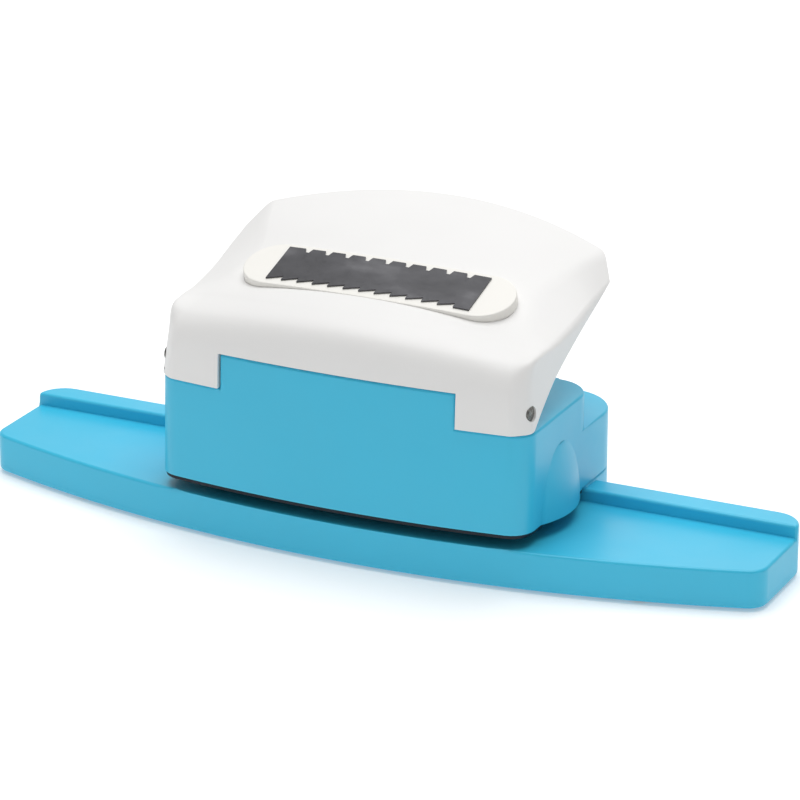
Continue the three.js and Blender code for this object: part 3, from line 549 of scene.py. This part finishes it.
def bowed(piece):
    """Cuts a flat piece into strips across x, bows its ends down and lays it on the badge's slope."""
    def steps(bm):
        for i in range(-BOW_STRIPS // 2, BOW_STRIPS // 2 + 1):
            parts = bm.verts[:] + bm.edges[:] + bm.faces[:]
            place = (i * BADGE_LENGTH / BOW_STRIPS, 0, 0)
            bmesh.ops.bisect_plane(bm, geom=parts, plane_co=place, plane_no=(1, 0, 0))
        for vert in bm.verts:
            vert.co.z -= BADGE_BOW * (vert.co.x / (BADGE_LENGTH / 2)) ** 2
            vert.co = ON_BADGE @ vert.co

    return rework(piece, steps)


def at_hinge(piece):
    piece.data.transform(Matrix.Translation(HINGE))
    return piece


PRESS_INSET = 29.4  # from the lever's side to the middle of each press rib
LEG_RIB = [(-3.2, -30), (9, -30), (9, 6), (-3.2, 6)]
BOSS_WALL = 2.05
NOSE_ROOM = ((7, -9), (29, 6))  # low and high (y, z) of the ribs' noses, which reach below the skirt
DOUBLED = 0.04
SLIVER_AREA = 1e-4


def lever_shell():
    """The hollow skin, with solid rear corners and an open underside."""
    shell = loft("lever_cover", lever_rows(128, 22, 7, 5, 6))
    inner = loft("lever_inner", inner_rows())
    solid_x, solid_y = HALF - 3 * LEVER_WALL, SHOULDER[-1][0] - 4 * LEVER_WALL
    cut(inner, block("solid_corner", (solid_x, solid_y, -FAR), (FAR, FAR, FAR)))
    cut(inner, block("solid_corner", (-FAR, solid_y, -FAR), (-solid_x, FAR, FAR)))
    cut(shell, inner)
    return cut(shell, prism("under", under_lever(), -FAR, FAR, ALONG_X))


def lever_inside(notch_half):
    """The leg ribs, rod bosses, badge seat and press ribs, trimmed to the lever's own outside."""
    leg_inner = notch_half + LEVER_WALL
    inside = prism("leg_left", LEG_RIB, -leg_inner, -notch_half, ALONG_X)
    join(inside, prism("leg_right", LEG_RIB, notch_half, leg_inner, ALONG_X))
    for low, high in ((-HALF, -notch_half), (notch_half, HALF)):
        join(inside, rod_along_x("boss", ROD_RADIUS + BOSS_WALL, low, high))
    seat = pill(BADGE_LENGTH + 2 * SEAT_RIM, BADGE_DEPTH + 2 * SEAT_RIM)
    join(inside, bowed(prism("badge_seat", seat, -BADGE_THICKNESS - SEAT_GAP - SEAT_FLOOR, 0)))
    rib_x = HALF - PRESS_INSET
    for _, s in SIDES:
        low = s * rib_x - RIB_THICKNESS / 2
        join(inside, prism("press_rib", rib_outline(), low, low + RIB_THICKNESS, ALONG_X))
    envelope = loft("envelope", lever_rows(48, 10, 4, 2, 2))
    cut(envelope, prism("under_again", under_lever(), -FAR, FAR, ALONG_X))
    room_x = rib_x + RIB_THICKNESS
    low, high = NOSE_ROOM
    join(envelope, block("nose_room", (-room_x, *low), (room_x, *high)))
    return combine(inside, envelope, "INTERSECT")


def tidied(bm):
    """Clears the doubled points and slivers that the cuts leave, then shades by angle."""
    bmesh.ops.remove_doubles(bm, verts=bm.verts, dist=DOUBLED)
    bmesh.ops.dissolve_degenerate(bm, edges=bm.edges, dist=DOUBLED)
    bmesh.ops.triangulate(bm, faces=[face for face in bm.faces if len(face.verts) > 4])
    slivers = [face for face in bm.faces if face.calc_area() < SLIVER_AREA]
    shortest = {min(face.edges, key=lambda edge: edge.calc_length()) for face in slivers}
    bmesh.ops.collapse(bm, edges=list(shortest), uvs=False)
    smooth_faces(bm, 30)


def make_lever():
    notch_half = TOWER_HALF + MOVE_GAP
    notch_top = TOWER_TOP - HINGE.z + MOVE_GAP
    lever = join(lever_shell(), lever_inside(notch_half))
    cut(lever, block("notch", (-notch_half, -40, -40), (notch_half, TOWER_DEPTH + 4, notch_top)))
    cut(lever, rod_along_x("bore", ROD_RADIUS + RUN_GAP, -HALF - 1, HALF + 1))
    pocket = pill(BADGE_LENGTH + 2 * SEAT_GAP, BADGE_DEPTH + 2 * SEAT_GAP)
    cut(lever, bowed(prism("pocket", pocket, -BADGE_THICKNESS - SEAT_GAP, 9)))
    rework(lever, tidied)
    return finished(at_hinge(lever), "lever", ["lever"], [WHITE])


def rounded_plate(name, outline_at, low, high, edge, steps=5):
    """A plate whose top edge is rounded; outline_at(inset) gives its outline."""
    rows = [(low, 0.0)]
    rows += [(high - edge + edge * math.sin(a), edge * (1 - math.cos(a)))
             for a in (math.pi / 2 * i / steps for i in range(steps + 1))]
    return loft(name, [[Vector((u, v, z)) for u, v in outline_at(inset)] for z, inset in rows])


def make_badge():
    badge = rounded_plate("badge", lambda inset: pill(BADGE_LENGTH - 2 * inset, BADGE_DEPTH - 2 * inset),
                          -BADGE_THICKNESS, 0, EDGE_BADGE)
    rework(bowed(badge), lambda bm: smooth_faces(bm, 30))
    return finished(at_hinge(badge), "lever", ["badge_plate"], [BADGE])


def add_bevel(node, width, segments=2):
    """Softens a small CAD node's edges by modifiers, and shades it by angle."""
    piece = NODES[node]
    for edge in piece.data.edges:
        edge.use_edge_sharp = False
    for polygon in piece.data.polygons:
        polygon.use_smooth = True
    weld = piece.modifiers.new("weld", "WELD")
    weld.merge_threshold = 0.01 * MM
    flat = piece.modifiers.new("flat", "DECIMATE")
    flat.decimate_type = "DISSOLVE"
    flat.angle_limit = math.radians(0.3)
    bevel = piece.modifiers.new("bevel", "BEVEL")
    bevel.width = width * MM
    bevel.segments = segments
    bevel.limit_method = "ANGLE"
    bevel.angle_limit = math.radians(40)
    bevel.harden_normals = True
    return piece


def paint(node, material):
    NODES[node].data.materials.clear()
    NODES[node].data.materials.append(material)


# ---- Base and body ------------------------------------------------------------------------------------------
DIE_SEAT_HALF = 41
RIM_BOTTOM = 0.9


def outer_of_base(p):
    """The base's visible edges: its rim, deck, fence and pedestal, but not the die's seat."""
    at_die = abs(p.x) < DIE_SEAT_HALF and p.y < FENCE_Y - 1
    return p.z > DECK_Z - 0.5 and not at_die or p.z < RIM_BOTTOM


def make_base():
    base = softened("base", "base_tray", EDGE_BASE, outer_of_base)
    return finished(base, "frame", ["base"], [BLUE])


def outer_of_body(p):
    """The body's visible edges, but not those round the carrier's well or at the bottom."""
    inside = abs(p.x) < TOWER_HALF + 0.5 and p.z < TOWER_TOP - 1 and p.y > BODY_LOW.y + 6
    return p.z > BODY_BOTTOM + 3 and not inside


def make_body():
    body = softened("body_shell", "body_cover", EDGE_BODY, outer_of_body)
    return finished(body, "frame", ["body_shell"], [BLUE])


# ---- Springs ------------------------------------------------------------------------------------------------
WIRE_RADIUS = 0.4
SPRING_TURNS = 5.5
STEPS_PER_TURN = 48
WIRE_SIDES = 12


def make_spring(side):
    """A coil in the CAD spring's box."""
    low, high = box_mm("return_spring_" + side)
    centre = (low + high) / 2
    radius = (high.x - low.x) / 2 - WIRE_RADIUS
    steps = int(SPRING_TURNS * STEPS_PER_TURN)
    rise = high.z - low.z - 2 * WIRE_RADIUS
    climb = rise / (2 * math.pi * SPRING_TURNS)
    rows = []
    for i in range(steps + 1):
        t = i / steps
        a = 2 * math.pi * SPRING_TURNS * t
        out = Vector((math.cos(a), math.sin(a), 0))
        tangent = Vector((-math.sin(a) * radius, math.cos(a) * radius, climb)).normalized()
        up = tangent.cross(out)
        middle = Vector((centre.x, centre.y, low.z + WIRE_RADIUS + rise * t)) + out * radius
        rows.append([middle + (out * math.cos(b) + up * math.sin(b)) * WIRE_RADIUS
                     for b in (2 * math.pi * k / WIRE_SIDES for k in range(WIRE_SIDES))])
    spring = loft("spring_" + side, rows)
    rework(spring, lambda bm: smooth_faces(bm, 40))
    finished(spring, "frame", ["return_spring_" + side], [SPRING_STEEL])
    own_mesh(spring)


make_base()
make_body()
make_lever()
make_badge()
for side, _ in SIDES:
    make_spring(side)

for name in ("die_plate", "guide_plate", "punch_blade", "punch_carrier"):
    add_bevel(name, EDGE_SMALL)
for polygon in NODES["pattern_foil"].data.polygons:
    polygon.use_smooth = False
add_bevel("hinge_rod", EDGE_ROD)
for name in NODES:
    if "screw" in name or "foot" in name or "post" in name:
        add_bevel(name, EDGE_TINY)
paint("die_plate", TOOL_STEEL)
paint("guide_plate", DARK_STEEL)
paint("punch_blade", TOOL_STEEL)
paint("punch_carrier", GREY)
paint("hinge_rod", ROD_STEEL)
paint("pattern_foil", FOIL)
for name in NODES:
    if "screw" in name:
        paint(name, ZINC)
    if "foot" in name:
        paint(name, RUBBER)
    if "post" in name:
        paint(name, TOOL_STEEL)


# ---- Stage (metres) -----------------------------------------------------------------------------------------
def make_floor():
    bm = bmesh.new()
    bmesh.ops.create_grid(bm, x_segments=1, y_segments=1, size=6.0)
    floor = object_of("floor", bm)
    floor.location.z = -0.0001
    material, _, bsdf, _ = shader("floor", 0.7, specular=0.2)
    bsdf.inputs["Base Color"].default_value = (0.9, 0.9, 0.9, 1)
    bsdf.inputs["Emission Color"].default_value = (1, 1, 1, 1)
    bsdf.inputs["Emission Strength"].default_value = 0.25
    floor.data.materials.append(material)


def make_light(name, place, aim, size, energy):
    data = bpy.data.lights.new(name, "AREA")
    data.shape = "SQUARE"
    data.size = size
    data.energy = energy
    light = bpy.data.objects.new(name, data)
    bpy.context.scene.collection.objects.link(light)
    light.location = place
    light.rotation_mode = "QUATERNION"
    light.rotation_quaternion = (Vector(aim) - Vector(place)).to_track_quat("-Z", "Y")


def make_stage():
    make_floor()
    aim = (0, 0, 0.03)
    make_light("top_softbox", (-0.05, 0.15, 1.2), aim, 1.1, 12.2)
    make_light("back_panel", (-0.3, 1.7, 0.75), aim, 1.5, 6.0)
    make_light("front_fill", (-0.6, -1.3, 0.6), aim, 0.8, 0.7)
    world = bpy.data.worlds.new("world")
    world.use_nodes = True
    world.node_tree.nodes["Background"].inputs["Color"].default_value = (1, 1, 1, 1)
    world.node_tree.nodes["Background"].inputs["Strength"].default_value = 0.34
    bpy.context.scene.world = world
    bpy.context.scene.view_settings.view_transform = "Standard"


def make_camera():
    aim = Vector((8.931, -13.85, 35.82)) * MM
    azimuth, elevation, distance = math.radians(25.645), math.radians(20.762), 0.962969
    back = Vector((math.sin(azimuth) * math.cos(elevation), -math.cos(azimuth) * math.cos(elevation),
                   math.sin(elevation)))
    data = bpy.data.cameras.new("camera")
    data.sensor_width = 36
    data.lens = 187.44
    data.clip_start = 0.01
    data.clip_end = 50
    camera = bpy.data.objects.new("camera", data)
    bpy.context.scene.collection.objects.link(camera)
    camera.location = aim + back * distance
    camera.rotation_mode = "QUATERNION"
    camera.rotation_quaternion = (-back).to_track_quat("-Z", "Y")
    bpy.context.scene.camera = camera


make_stage()
make_camera()

bpy.context.view_layer.update()
